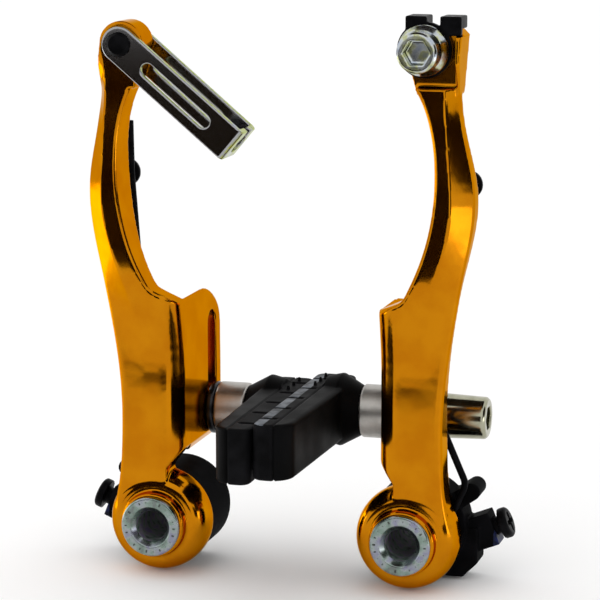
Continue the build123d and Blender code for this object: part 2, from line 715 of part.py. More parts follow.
# Spring housing: a cup around the bush, with the adjuster's threaded block on its outer side
with BuildPart() as spring_housing:
    with BuildSketch(front_plane(HOUSING_BACK)):
        Circle(HOUSING_RADIUS)
    extrude(amount=HOUSING_BACK - HOUSING_FRONT)
    with BuildSketch(front_plane(HOUSING_BACK)):
        with BuildLine():
            Polyline(
                (BRACKET_START, -BRACKET_DROP),
                (-BRACKET_REACH + BRACKET_SLANT, -BRACKET_DROP),
                (-BRACKET_REACH, -BRACKET_DROP + BRACKET_SLANT),
                (-BRACKET_REACH, 0),
                (BRACKET_START, 0),
                close=True,
            )
        make_face()
    extrude(amount=HOUSING_BACK - BLOCK_FRONT)
    with BuildSketch(front_plane(HOUSING_BACK)):
        with Locations((TAB_OFFSET, TAB_HEIGHT), (TAB_OFFSET / 2, TAB_HEIGHT / 2)):
            Circle(TAB_RADIUS)
        make_hull()
    extrude(amount=HOUSING_BACK - BLOCK_FRONT)
    with BuildSketch(ADJUSTER_END):
        Rectangle(BLOCK_DEPTH, BLOCK_WIDTH)
    extrude(amount=-BLOCK_END)
    with BuildSketch(front_plane(HOUSING_BACK - HOUSING_FLOOR)):
        Circle(HOUSING_RADIUS - HOUSING_WALL)
    extrude(amount=HOUSING_BACK, mode=Mode.SUBTRACT)
    with BuildSketch(front_plane(HOUSING_BACK)):
        Circle(BARREL_RADIUS + SEAT_CLEARANCE)
    extrude(amount=HOUSING_BACK, mode=Mode.SUBTRACT)
    with BuildSketch(front_plane(WINDOW_BACK)):
        with BuildLine():
            Polyline(
                (0, 0),
                (WINDOW_SIDE, WINDOW_REACH),
                (-WINDOW_REACH, WINDOW_REACH),
                (-WINDOW_REACH, WINDOW_FOOT),
                close=True,
            )
        make_face()
    extrude(amount=WINDOW_BACK, mode=Mode.SUBTRACT)
    with BuildSketch(ADJUSTER_END):
        Circle(SCREW_RADIUS + SCREW_CLEARANCE)
    extrude(amount=-SCREW_LENGTH, mode=Mode.SUBTRACT)

# Adjuster screw with a cross recess in its head
with BuildPart() as adjuster_screw:
    head_under = BLOCK_END + SCREW_GAP
    head_top = head_under + SCREW_HEAD_THICKNESS
    turned(
        ADJUSTER_SECTION,
        (BLOCK_END - SCREW_LENGTH, 0),
        (BLOCK_END - SCREW_LENGTH, SCREW_RADIUS),
        (head_under, SCREW_RADIUS),
        (head_under, SCREW_HEAD_RADIUS),
        (head_top - SCREW_HEAD_BREAK, SCREW_HEAD_RADIUS),
        (head_top, SCREW_HEAD_RADIUS - SCREW_HEAD_BREAK),
        (head_top, 0),
    )
    with BuildSketch(ADJUSTER_END.offset(SCREW_GAP + SCREW_HEAD_THICKNESS)):
        Rectangle(DRIVER_SLOT, DRIVER_SLOT_LENGTH)
        Rectangle(DRIVER_SLOT_LENGTH, DRIVER_SLOT)
    extrude(amount=-DRIVER_SLOT_DEPTH, mode=Mode.SUBTRACT)

# Spring pin on the back of the blade
with BuildPart() as spring_pin:
    turned(
        depth_axis_plane(PIN_OFFSET, PIN_HEIGHT),
        (PIN_SEAT, 0),
        (PIN_SEAT, PIN_RADIUS),
        (PIN_HEAD_FRONT, PIN_RADIUS),
        (PIN_HEAD_FRONT, PIN_HEAD_RADIUS),
        (PIN_HEAD_FRONT + PIN_HEAD_RIM, PIN_HEAD_RADIUS),
        (PIN_HEAD_FRONT + PIN_HEAD_THICKNESS, PIN_HEAD_CROWN),
        (PIN_HEAD_FRONT + PIN_HEAD_THICKNESS, 0),
    )

# Return spring: a coil inside the housing and one leg that runs up to the pin
with BuildPart() as return_spring:
    with BuildLine() as coil:
        Helix(
            pitch=COIL_PITCH,
            height=COIL_TURNS * COIL_PITCH,
            radius=COIL_RADIUS,
            center=spot(0, LEG_DEPTH + COIL_TURNS * COIL_PITCH, 0),
            direction=(0, -1, 0),
            lefthand=True,
        )
    with BuildSketch(Plane(origin=coil.line @ 0, z_dir=coil.line % 0)):
        Circle(WIRE_RADIUS)
    sweep(path=coil.line, is_frenet=True)
    with BuildLine() as leg:
        FilletPolyline(
            spot(-COIL_RADIUS, LEG_DEPTH, 0),
            spot(-COIL_RADIUS, LEG_DEPTH, LEG_START),
            spot(LEG_KICK_OFFSET, LEG_DEPTH, LEG_KICK_HEIGHT),
            spot(LEG_RETURN_OFFSET, LEG_DEPTH, LEG_RETURN_HEIGHT),
            spot(LEG_AT_PIN, LEG_DEPTH, PIN_HEIGHT),
            spot(LEG_AT_PIN - LEG_LEAN, LEG_DEPTH, PIN_HEIGHT + LEG_OVERRUN),
            radius=[LEG_BEND, LEG_BEND, LEG_BEND, LEG_TOP_BEND],
        )
    with BuildSketch(Plane(origin=leg.line @ 0, z_dir=leg.line % 0)):
        Circle(WIRE_RADIUS)
    sweep(path=leg.line)
    with Locations(spot(-COIL_RADIUS, LEG_DEPTH, 0)):
        Sphere(WIRE_RADIUS)

# Cable link: one folded sheet that straddles the left arm's head and holds the cable at its end
with BuildPart() as cable_link:
    with BuildSketch(link_plane(LINK_BACK)):
        with BuildLine():
            Polyline((0, LINK_WIDTH / 2), (LINK_REACH, LINK_WIDTH / 2))
            Polyline((LINK_REACH, LINK_WIDTH / 2), (LINK_REACH, -LINK_WIDTH / 2))
            Polyline((LINK_REACH, -LINK_WIDTH / 2), (0, -LINK_WIDTH / 2))
            ThreePointArc((0, -LINK_WIDTH / 2), (-LINK_WIDTH / 2, 0), (0, LINK_WIDTH / 2))
        make_face()
    extrude(amount=LINK_BACK - LINK_FRONT)
    bends = cable_link.edges().filter_by(Axis((0, 0, 0), link_plane(0).y_dir)).sort_by(Axis.X)[-2:]
    fillet(bends, LINK_SHEET)
    with BuildSketch(link_plane(LINK_BACK - LINK_SHEET)):
        with Locations(((LINK_REACH - LINK_SHEET) / 2 - LINK_WIDTH / 2, 0)):
            Rectangle(LINK_REACH - LINK_SHEET + LINK_WIDTH, 2 * LINK_WIDTH)
    extrude(amount=LINK_BACK - LINK_FRONT - 2 * LINK_SHEET, mode=Mode.SUBTRACT)
    with BuildSketch(link_plane(LINK_BACK)):
        with Locations(((LINK_SLOT_START + LINK_SLOT_END) / 2, 0)):
            SlotOverall(LINK_SLOT_END - LINK_SLOT_START, LINK_SLOT_WIDTH)
        Circle(RIVET_RADIUS + RUNNING_CLEARANCE)
    extrude(amount=LINK_BACK - LINK_FRONT, mode=Mode.SUBTRACT)
    with BuildSketch(LINK_END):
        Circle(NOODLE_RADIUS)
        with Locations((0, LINK_WIDTH / 2)):
            Rectangle(NOODLE_GATE, LINK_WIDTH)
    extrude(amount=-2 * LINK_SHEET, mode=Mode.SUBTRACT)

# Rivet through the link and the left arm's head
with BuildPart() as link_rivet:
    rivet_front = LINK_FRONT - RIVET_PLAY
    rivet_back = LINK_BACK + RIVET_PLAY
    turned(
        depth_axis_plane(CABLE_OFFSET, CABLE_HEIGHT),
        (rivet_front - RIVET_HEAD_HEIGHT, 0),
        (rivet_front - RIVET_HEAD_HEIGHT, RIVET_CROWN_RADIUS),
        (rivet_front, RIVET_HEAD_RADIUS),
        (rivet_front, RIVET_RADIUS),
        (rivet_back, RIVET_RADIUS),
        (rivet_back, RIVET_HEAD_RADIUS),
        (rivet_back + RIVET_HEAD_HEIGHT, RIVET_CROWN_RADIUS),
        (rivet_back + RIVET_HEAD_HEIGHT, 0),
    )

# Anchor plate: clamps the cable under the bolt, with two horns folded back over the arm
with BuildPart() as anchor_plate:
    with BuildSketch(front_plane(SEAT_DEPTH)):
        with Locations((ANCHOR_OFFSET, CABLE_HEIGHT)):
            Circle(PLATE_RADIUS)
        horn_foot = HEAD_TOP - HEAD_CORNER + HORN_PLAY
        with Locations((ANCHOR_OFFSET + HORN_SHIFT, CABLE_HEIGHT + (HORN_RISE + horn_foot) / 2)):
            with GridLocations(HORN_WIDTH + HORN_GAP, 0, 2, 1):
                Rectangle(HORN_WIDTH, HORN_RISE - horn_foot)
    extrude(amount=PLATE_THICKNESS)
    horn_foot = HEAD_TOP + HORN_PLAY
    with BuildSketch(front_plane(PLATE_FRONT + HORN_LENGTH)):
        with Locations((ANCHOR_OFFSET + HORN_SHIFT, CABLE_HEIGHT + (HORN_RISE + horn_foot) / 2)):
            with GridLocations(HORN_WIDTH + HORN_GAP, 0, 2, 1):
                Rectangle(HORN_WIDTH, HORN_RISE - horn_foot)
    extrude(amount=HORN_LENGTH)
    with BuildSketch(front_plane(SEAT_DEPTH)):
        with Locations((ANCHOR_OFFSET, CABLE_HEIGHT)):
            Circle(BOLT_RADIUS + BOLT_CLEARANCE)
    extrude(amount=PLATE_THICKNESS, mode=Mode.SUBTRACT)

# Anchor bolt with a flange under its head and a hexagon socket
with BuildPart() as anchor_bolt:
    bolt_face = PLATE_FRONT - BOLT_FLANGE_THICKNESS
    bolt_top = bolt_face - BOLT_HEAD_HEIGHT
    turned(
        depth_axis_plane(ANCHOR_OFFSET, CABLE_HEIGHT),
        (bolt_top, 0),
        (bolt_top, BOLT_HEAD_RADIUS - BOLT_HEAD_BREAK),
        (bolt_top + BOLT_HEAD_BREAK, BOLT_HEAD_RADIUS),
        (bolt_face - BOLT_FLARE, BOLT_HEAD_RADIUS),
        (bolt_face, BOLT_FLANGE_RADIUS),
        (PLATE_FRONT, BOLT_FLANGE_RADIUS),
        (PLATE_FRONT, BOLT_RADIUS),
        (SEAT_DEPTH + BOLT_LENGTH, BOLT_RADIUS),
        (SEAT_DEPTH + BOLT_LENGTH, 0),
    )
    with BuildSketch(front_plane(bolt_top)):
        with Locations((ANCHOR_OFFSET, CABLE_HEIGHT)):
            RegularPolygon(HEX_SOCKET / 2, 6, major_radius=False)
    extrude(amount=-SOCKET_DEPTH, mode=Mode.SUBTRACT)

os.makedirs("parts", exist_ok=True)


def write_piece(part, label):
    """Label a finished piece and write it as its own node."""
    part.label = label
    export_step(part, "parts/" + label + ".step")


paired_pieces = {
    "pivot_bush": pivot_bush,
    "spring_housing": spring_housing,
    "return_spring": return_spring,
    "adjuster_screw": adjuster_screw,
    "spring_pin": spring_pin,
}
clamped_pieces = {
    "brake_pad": brake_pad,
    "pad_stud": pad_stud,
    "inner_washer": inner_washer,
    "pad_spacer": pad_spacer,
    "outer_washer": outer_washer,
    "pad_nut": pad_nut,
}
right_pieces = {"right_arm": anchor_arm, "anchor_plate": anchor_plate, "anchor_bolt": anchor_bolt}

write_piece(left_arm.part, "left_arm")
write_piece(cable_link.part, "cable_link")
write_piece(link_rivet.part, "link_rivet")
for name, piece in (paired_pieces | clamped_pieces).items():
    write_piece(piece.part, "left_" + name)
    right_pieces["right_" + name] = piece
for name, piece in right_pieces.items():
    with BuildPart() as twin:
        mirror(piece.part, about=Plane.YZ)
    # The right pad is clamped higher in its slot than the left one
    lift = PAD_LIFT if piece in clamped_pieces.values() else 0
    write_piece(twin.part.moved(Location((0, 0, lift))), name)
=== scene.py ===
"""Looks of a gold linear-pull rim brake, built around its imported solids."""
import json
import logging
import math
from dataclasses import dataclass, field
from enum import Enum
from typing import Callable

import bmesh
import bpy
from mathutils import Euler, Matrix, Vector


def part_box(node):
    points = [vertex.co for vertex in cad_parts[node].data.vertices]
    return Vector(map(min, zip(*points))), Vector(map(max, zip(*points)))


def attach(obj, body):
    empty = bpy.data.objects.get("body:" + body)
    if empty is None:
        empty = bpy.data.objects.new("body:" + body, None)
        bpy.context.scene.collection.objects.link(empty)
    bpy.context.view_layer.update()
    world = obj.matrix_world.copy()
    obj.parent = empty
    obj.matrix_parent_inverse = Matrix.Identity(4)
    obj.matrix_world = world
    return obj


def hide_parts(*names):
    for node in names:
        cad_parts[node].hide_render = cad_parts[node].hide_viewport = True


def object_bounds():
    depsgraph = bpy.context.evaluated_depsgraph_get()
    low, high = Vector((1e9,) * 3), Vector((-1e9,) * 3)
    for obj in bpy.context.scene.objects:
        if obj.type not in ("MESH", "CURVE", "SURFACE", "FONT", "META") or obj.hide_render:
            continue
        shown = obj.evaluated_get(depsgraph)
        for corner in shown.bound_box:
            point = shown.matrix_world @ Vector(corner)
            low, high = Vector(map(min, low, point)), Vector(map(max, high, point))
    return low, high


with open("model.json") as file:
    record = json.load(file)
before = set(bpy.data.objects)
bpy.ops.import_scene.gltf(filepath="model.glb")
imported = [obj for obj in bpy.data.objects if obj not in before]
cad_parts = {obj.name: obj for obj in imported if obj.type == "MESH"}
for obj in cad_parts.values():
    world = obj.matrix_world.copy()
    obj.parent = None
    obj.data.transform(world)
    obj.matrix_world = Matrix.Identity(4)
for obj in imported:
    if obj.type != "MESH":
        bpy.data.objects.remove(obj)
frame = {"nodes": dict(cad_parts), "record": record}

MM = 0.001
MICRON = 1e-6
CAD_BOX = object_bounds()
log = logging.getLogger("brake")

# Corners of the CAD's loose triangles that lie closer than this are one corner, in metres
WELD = 1e-6
# Share of the way that each round of smoothing moves a corner toward its neighbours
EASE = 0.5
# Edges sharper than this stay sharp on small repeated pieces
SHARP_ANGLE = math.radians(35)

# Where the noise of a patchy surface turns from shade to tone
PATCH_STOPS = (0.36, 0.64)
# Where the noise of passivated zinc turns from shade to bloom, tone and cool
BLOOM_STOPS = (0.32, 0.44, 0.54, 0.68)
# Smears of gloss are larger than the patches of colour, and this much of their noise is used
SMEAR_SCALE = 0.6
SMEAR_RANGE = (0.3, 0.7)
# Bands that the wave texture draws in one unit at a scale of 1
WAVE_BANDS = 3.2

Colour = tuple[float, float, float, float]
Triple = tuple[float, float, float]
Pair = tuple[float, float]


class Side(Enum):
    """The two arms, as the front of the brake shows them."""

    LEFT = "left"
    RIGHT = "right"

    @property
    def outward(self) -> float:
        """Direction along x that leads away from the wheel."""
        return -1.0 if self is Side.LEFT else 1.0

    def node(self, piece: str) -> str:
        """Name of this side's node for a piece."""
        return f"{self.value}_{piece}"


def linear(code: str) -> Colour:
    """Turn an sRGB hex code into a linear colour.

    Args:
        code: Six hex digits after a hash sign.

    Returns:
        Red, green, blue and an alpha of 1.
    """
    parts = [int(code[i : i + 2], 16) / 255 for i in (1, 3, 5)]
    lin = [p / 12.92 if p <= 0.04045 else ((p + 0.055) / 1.055) ** 2.4 for p in parts]
    return (lin[0], lin[1], lin[2], 1.0)


def add_node(
    tree: bpy.types.NodeTree, kind: str, settings: dict | None = None, links: dict | None = None
) -> bpy.types.Node:
    """Add a node to a tree.

    Args:
        tree: Tree that takes the node.
        kind: Blender's type name of the node.
        settings: Values for the node's own options and for its unlinked inputs.
        links: Output sockets by the name or index of the input they feed.

    Returns:
        The new node.
    """
    node = tree.nodes.new(kind)
    for key, value in (settings or {}).items():
        if isinstance(key, str) and hasattr(node, key):
            setattr(node, key, value)
        else:
            node.inputs[key].default_value = value
    for key, socket in (links or {}).items():
        tree.links.new(socket, node.inputs[key])
    return node


def set_ramp(node: bpy.types.Node, places: tuple[float, ...], codes: tuple[str, ...]) -> None:
    """Give a colour ramp its stops.

    Args:
        node: The ramp's node.
        places: Where the stops are, in order.
        codes: Hex code of the colour at each stop.
    """
    elements = node.color_ramp.elements
    while len(elements) < len(places):
        elements.new(0.5)
    for element, place, code in zip(elements, places, codes):
        element.position = place
        element.color = linear(code)


@dataclass(frozen=True)
class Finish:
    """A surface with slow patches of tone and shade, an uneven gloss and a fine grain.

    The gloss is the least and the most roughness, grain_um is the height of the grain in
    micrometres, and rim is the colour that a glancing look takes.
    """

    name: str
    tone: str
    shade: str
    metallic: float
    gloss: Pair
    patch_mm: float
    grain_mm: float
    grain_um: float
    specular: float = 0.5
    rim: str = "#FFFFFF"

    def colour(self, tree: bpy.types.NodeTree, place: bpy.types.NodeSocket) -> bpy.types.NodeSocket:
        """Colour of the surface: tone and shade in soft patches.

        Args:
            tree: The material's tree.
            place: Socket with the object coordinates.

        Returns:
            Socket with the colour.
        """
        return self.patches(tree, place, PATCH_STOPS, (self.shade, self.tone))

    def patches(
        self,
        tree: bpy.types.NodeTree,
        place: bpy.types.NodeSocket,
        stops: tuple[float, ...],
        codes: tuple[str, ...],
    ) -> bpy.types.NodeSocket:
        """Spread colours in soft patches.

        Args:
            tree: The material's tree.
            place: Socket with the object coordinates.
            stops: Where in the noise each colour stands.
            codes: Hex codes of the colours.

        Returns:
            Socket with the colour.
        """
        noise = add_node(
            tree,
            "ShaderNodeTexNoise",
            {"Scale": 1 / (self.patch_mm * MM), "Detail": 3.0},
            {"Vector": place},
        )
        ramp = add_node(tree, "ShaderNodeValToRGB", links={"Fac": noise.outputs["Fac"]})
        set_ramp(ramp, stops, codes)
        return ramp.outputs["Color"]

    def relief(self, tree: bpy.types.NodeTree, place: bpy.types.NodeSocket) -> bpy.types.NodeSocket:
        """Height of the surface's own grain.

        Args:
            tree: The material's tree.
            place: Socket with the object coordinates.

        Returns:
            Socket with a height from 0 to 1.
        """
        grain = add_node(
            tree,
            "ShaderNodeTexNoise",
            {"Scale": 1 / (self.grain_mm * MM), "Detail": 2.0},
            {"Vector": place},
        )
        return grain.outputs["Fac"]

    def material(self) -> bpy.types.Material:
        """Make the material, or give back the one already made.

        Returns:
            The material.
        """
        made = bpy.data.materials.get(self.name)
        if made:
            return made
        made = bpy.data.materials.new(self.name)
        made.use_nodes = True
        tree = made.node_tree
        tree.nodes.clear()
        place = add_node(tree, "ShaderNodeTexCoord").outputs["Object"]
        smears = add_node(
            tree,
            "ShaderNodeTexNoise",
            {"Scale": SMEAR_SCALE / (self.patch_mm * MM), "Detail": 4.0},
            {"Vector": place},
        )
        gloss = add_node(
            tree,
            "ShaderNodeMapRange",
            {
                "From Min": SMEAR_RANGE[0],
                "From Max": SMEAR_RANGE[1],
                "To Min": self.gloss[0],
                "To Max": self.gloss[1],
            },
            {"Value": smears.outputs["Fac"]},
        )
        bump = add_node(
            tree,
            "ShaderNodeBump",
            {"Strength": 1.0, "Distance": self.grain_um * MICRON},
            {"Height": self.relief(tree, place)},
        )
        surface = add_node(
            tree,
            "ShaderNodeBsdfPrincipled",
            {
                "Metallic": self.metallic,
                "Specular IOR Level": self.specular,
                "Specular Tint": linear(self.rim),
            },
            {
                "Base Color": self.colour(tree, place),
                "Roughness": gloss.outputs["Result"],
                "Normal": bump.outputs["Normal"],
            },
        )
        add_node(tree, "ShaderNodeOutputMaterial", links={"Surface": surface.outputs["BSDF"]})
        return made


@dataclass(frozen=True)
class TurnedFinish(Finish):
    """A surface from the lathe, with fine rings across one axis."""

    ring_mm: float = 0.2
    axis: str = "X"

    def relief(self, tree: bpy.types.NodeTree, place: bpy.types.NodeSocket) -> bpy.types.NodeSocket:
        """Height of the tool rings across the axis, broken up a little.

        Args:
            tree: The material's tree.
            place: Socket with the object coordinates.

        Returns:
            Socket with a height from 0 to 1.
        """
        rings = add_node(
            tree,
            "ShaderNodeTexWave",
            {
                "wave_type": "BANDS",
                "bands_direction": self.axis,
                "Scale": 1 / (self.ring_mm * MM * WAVE_BANDS),
                "Distortion": 0.6,
                "Detail": 2.0,
            },
            {"Vector": place},
        )
        return rings.outputs["Fac"]


@dataclass(frozen=True)
class PassivatedFinish(Finish):
    """Zinc plate with the faint green and blue bloom of its passivation."""

    bloom: str = "#A9B4A0"
    cool: str = "#AEB6C4"

    def colour(self, tree: bpy.types.NodeTree, place: bpy.types.NodeSocket) -> bpy.types.NodeSocket:
        """Colour of the plate, which drifts into green and blue.

        Args:
            tree: The material's tree.
            place: Socket with the object coordinates.

        Returns:
            Socket with the colour.
        """
        return self.patches(tree, place, BLOOM_STOPS, (self.shade, self.bloom, self.tone, self.cool))


# The real grain and tool rings of these surfaces are a few hundredths of a millimetre, too fine
# to show in the render, so all of them are drawn coarser.

# Polished, gold-dyed anodic film: a deep mirror that stays gold even at a glancing look
ANODISED = Finish(
    "gold_anodised_aluminium",
    tone="#C47C0C",
    shade="#BA7009",
    metallic=1.0,
    gloss=(0.09, 0.16),
    patch_mm=7.0,
    grain_mm=0.35,
    grain_um=2.2,
    rim="#F0CB8C",
)
# Zinc plate on the turned bushes: mid grey with a green and violet bloom
ZINC = PassivatedFinish(
    "zinc_plated_bush_steel",
    tone="#9AA3A2",
    shade="#747B78",
    metallic=1.0,
    gloss=(0.2, 0.32),
    patch_mm=2.6,
    grain_mm=0.18,
    grain_um=1.5,
    bloom="#82958B",
    cool="#8D8DA3",
)
# Painted shade in the bore: the zinc of the recess painted dull and dark
SHADED_BORE = PassivatedFinish(
    "bore_steel_painted_shade",
    tone="#656066",
    shade="#363538",
    metallic=0.0,
    gloss=(0.6, 0.75),
    patch_mm=1.8,
    grain_mm=0.2,
    grain_um=3.0,
    specular=0.03,
    bloom="#52635A",
    cool="#5D5371",
)
# Zinc plate on bolts: brighter, with a yellow-green cast
BRIGHT_ZINC = PassivatedFinish(
    "zinc_plated_bolt_steel",
    tone="#C3C8C6",
    shade="#8F958C",
    metallic=1.0,
    gloss=(0.14, 0.26),
    patch_mm=2.4,
    grain_mm=0.18,
    grain_um=1.2,
    bloom="#B4B88A",
    cool="#AAB3C2",
)
# Punch marks: grey bruises in the plating
BRUISE = Finish(
    "bruised_zinc",
    tone="#5A5F5B",
    shade="#474B48",
    metallic=1.0,
    gloss=(0.35, 0.5),
    patch_mm=1.0,
    grain_mm=0.2,
    grain_um=2.0,
)
# Chrome plate: a warm, slightly hazed mirror
CHROME = Finish(
    "hazed_chrome_plate",
    tone="#AEAD99",
    shade="#95947E",
    metallic=1.0,
    gloss=(0.1, 0.18),
    patch_mm=4.0,
    grain_mm=0.6,
    grain_um=0.5,
)
# Turned aluminium: soft grey with fine rings
SATIN = TurnedFinish(
    "turned_satin_aluminium",
    tone="#B9B6B1",
    shade="#A8A5A0",
    metallic=1.0,
    gloss=(0.34, 0.44),
    patch_mm=3.0,
    grain_mm=0.2,
    grain_um=1.4,
)
# Stamped steel: smoky mirror, mottled by rolling
STAMPED = PassivatedFinish(
    "stamped_steel",
    tone="#7C7D79",
    shade="#4A4B48",
    metallic=1.0,
    gloss=(0.1, 0.2),
    patch_mm=3.0,
    grain_mm=0.8,
    grain_um=2.4,
    bloom="#6A6C60",
    cool="#70757A",
)
# Sheared edges of the stamped steel, painted bright and yellow-green: a painted highlight and a painted
# reflection of the gold arm
SHEARED_HIGHLIGHT = PassivatedFinish(
    "sheared_edge_painted_highlight",
    tone="#9CA37A",
    shade="#7E865A",
    metallic=1.0,
    gloss=(0.16, 0.3),
    patch_mm=1.8,
    grain_mm=0.2,
    grain_um=3.0,
    bloom="#A9B548",
    cool="#949CA6",
)
# Black oxide: dull black with a low metal sheen
OXIDE = Finish(
    "black_oxide_steel",
    tone="#141416",
    shade="#0A0A0B",
    metallic=0.3,
    gloss=(0.3, 0.44),
    patch_mm=3.0,
    grain_mm=0.15,
    grain_um=2.5,
    specular=0.12,
    rim="#4A4A4E",
)
# Dark washer: grey oxide, half glossy
WASHER = Finish(
    "dark_washer_steel",
    tone="#37383B",
    shade="#27282A",
    metallic=0.9,
    gloss=(0.22, 0.36),
    patch_mm=3.0,
    grain_mm=0.2,
    grain_um=1.5,
)
# Moulded nylon: near black and even, matt from a spark-eroded mould
NYLON = Finish(
    "moulded_nylon",
    tone="#101012",
    shade="#0A0A0B",
    metallic=0.0,
    gloss=(0.42, 0.54),
    patch_mm=5.0,
    grain_mm=0.14,
    grain_um=5.0,
    specular=0.003,
)
# Pad shell: hard black moulding, a little sheen
SHELL = Finish(
    "moulded_pad_shell",
    tone="#0C0C0D",
    shade="#070707",
    metallic=0.0,
    gloss=(0.4, 0.54),
    patch_mm=6.0,
    grain_mm=0.25,
    grain_um=8.0,
    specular=0.02,
)
# Friction rubber: dry black, greyer where it is rubbed
RUBBER = Finish(
    "friction_rubber",
    tone="#131315",
    shade="#09090A",
    metallic=0.0,
    gloss=(0.5, 0.66),
    patch_mm=5.0,
    grain_mm=0.22,
    grain_um=10.0,
    specular=0.03,
)
# Rubbed top of a friction block: pale dust on rubber
DUSTY = Finish(
    "dusty_friction_rubber",
    tone="#70767D",
    shade="#33373B",
    metallic=0.0,
    gloss=(0.5, 0.7),
    patch_mm=2.6,
    grain_mm=0.2,
    grain_um=8.0,
    specular=0.2,
)
# Thread lock: dried blue film at the mouth of a tapped hole
THREAD_LOCK = Finish(
    "blue_thread_lock",
    tone="#1B2450",
    shade="#10131F",
    metallic=0.0,
    gloss=(0.3, 0.45),
    patch_mm=1.4,
    grain_mm=0.3,
    grain_um=5.0,
    specular=0.1,
)

NODE_BODY = {node: body for body, nodes in frame["record"]["behaviour"]["bodies"].items() for node in nodes}


def place_mesh(name: str, mesh: bpy.types.Mesh) -> bpy.types.Object:
    """Put a mesh into the scene as an object at the origin.

    Args:
        name: Name of the object.
        mesh: Its mesh.

    Returns:
        The object.
    """
    piece = bpy.data.objects.new(name, mesh)
    bpy.context.scene.collection.objects.link(piece)
    return piece


def baked(piece: bpy.types.Object) -> bpy.types.Mesh:
    """Turn an object with live modifiers into a plain mesh, and remove the object.

    Args:
        piece: Object whose modifiers are to be applied.

    Returns:
        A new mesh that holds the result.
    """
    bpy.context.view_layer.update()
    graph = bpy.context.evaluated_depsgraph_get()
    mesh = bpy.data.meshes.new_from_object(piece.evaluated_get(graph), depsgraph=graph)
    old = piece.data
    bpy.data.objects.remove(piece)
    if old.users == 0:
        bpy.data.meshes.remove(old)
    return mesh


def softened(node: str, face_mm: float, passes: int) -> bpy.types.Object:
    """Copy a node's shape with even faces and rounded edges, as forging and tumbling leave it.

    Args:
        node: Name of the CAD node.
        face_mm: Size of the faces.
        passes: Rounds of smoothing, each of which eases the edges a little more.

    Returns:
        The new object, smooth shaded.
    """
    mesh = frame["nodes"][node].data.copy()
    form = bmesh.new()
    form.from_mesh(mesh)
    bmesh.ops.remove_doubles(form, verts=form.verts, dist=WELD)
    form.to_mesh(mesh)
    form.free()
    mesh.materials.clear()
    rough = place_mesh(node + "_rough", mesh)
    skin = rough.modifiers.new("skin", "REMESH")
    skin.mode = "VOXEL"
    skin.voxel_size = face_mm * MM
    ease = rough.modifiers.new("ease", "SMOOTH")
    ease.factor = EASE
    ease.iterations = passes
    mesh = baked(rough)
    mesh.shade_smooth()
    return place_mesh(node + "_shape", mesh)


def push_in(piece: bpy.types.Object, depth: Callable[[bpy.types.MeshVertex], float]) -> None:
    """Push the skin of a piece inwards along its normals.

    Args:
        piece: Piece to change.
        depth: Gives how far a vertex goes in, in metres.
    """
    shifts = [vertex.normal * depth(vertex) for vertex in piece.data.vertices]
    for vertex, shift in zip(piece.data.vertices, shifts):
        vertex.co -= shift
    piece.data.update()


def paint(
    piece: bpy.types.Object, finish: Finish, chosen: Callable[[bpy.types.MeshPolygon], bool]
) -> None:
    """Give some faces of a dressed piece a second finish.

    Args:
        piece: Piece that has its main finish already.
        finish: Finish of the chosen faces.
        chosen: Tells whether a face takes the finish.
    """
    piece.data.materials.append(finish.material())
    index = len(piece.data.materials) - 1
    for face in piece.data.polygons:
        if chosen(face):
            face.material_index = index


def dress(piece: bpy.types.Object, finish: Finish, node: str, stands_for_node: bool = True) -> None:
    """Finish a piece and let it move with the body of its node.

    Args:
        piece: Object to dress.
        finish: Finish of all its faces.
        node: CAD node that the piece stands for or sits on.
        stands_for_node: Whether the piece takes the node's place.
    """
    piece.data.materials.clear()
    piece.data.materials.append(finish.material())
    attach(piece, NODE_BODY[node])
    if stands_for_node:
        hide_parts(node)
    log.info("%s: %d faces, %s", piece.name, len(piece.data.polygons), finish.name)


class NodeTreeMaker:
    """Builds a Geometry Nodes tree and runs it into a plain mesh."""

    def __init__(self, name: str) -> None:
        """Start an empty tree with a geometry output.

        Args:
            name: Name of the tree.
        """
        self.tree = bpy.data.node_groups.new(name, "GeometryNodeTree")
        self.tree.interface.new_socket("Geometry", in_out="OUTPUT", socket_type="NodeSocketGeometry")
        self.inputs = self.tree.nodes.new("NodeGroupInput")
        self.values: dict[str, object] = {}

    def size(self, name: str, value: object, kind: str = "NodeSocketFloat") -> bpy.types.NodeSocket:
        """Add a named input.

        Args:
            name: Name of the input.
            value: Value that the modifier gives it.
            kind: Blender's type name of the socket.

        Returns:
            The socket that carries the value inside the tree.
        """
        entry = self.tree.interface.new_socket(name, in_out="INPUT", socket_type=kind)
        self.values[entry.identifier] = value
        return self.inputs.outputs[name]

    def add(self, kind: str, settings: dict | None = None, links: dict | None = None) -> bpy.types.Node:
        """Add a node to the tree."""
        return add_node(self.tree, kind, settings, links)

    def run(self, name: str, shape: bpy.types.NodeSocket, finish: Finish) -> bpy.types.Object:
        """Close the tree and make its mesh.

        Args:
            name: Name of the new object.
            shape: Geometry that the tree has made.
            finish: Finish of its faces.

        Returns:
            The object, at the origin, with no modifier left on it.
        """
        whole = self.add("GeometryNodeRealizeInstances", links={"Geometry": shape})
        coat = self.add(
            "GeometryNodeSetMaterial",
            links={
                "Geometry": whole.outputs["Geometry"],
                "Material": self.size("Finish", finish.material(), "NodeSocketMaterial"),
            },
        )
        self.add("NodeGroupOutput", links={"Geometry": coat.outputs["Geometry"]})
        seed = place_mesh(name + "_seed", bpy.data.meshes.new(name + "_seed"))
        maker = seed.modifiers.new("maker", "NODES")
        maker.node_group = self.tree
        for identifier, value in self.values.items():
            maker[identifier] = value
        mesh = baked(seed)
        mesh.shade_smooth()
        mesh.set_sharp_from_angle(angle=SHARP_ANGLE)
        return place_mesh(name, mesh)


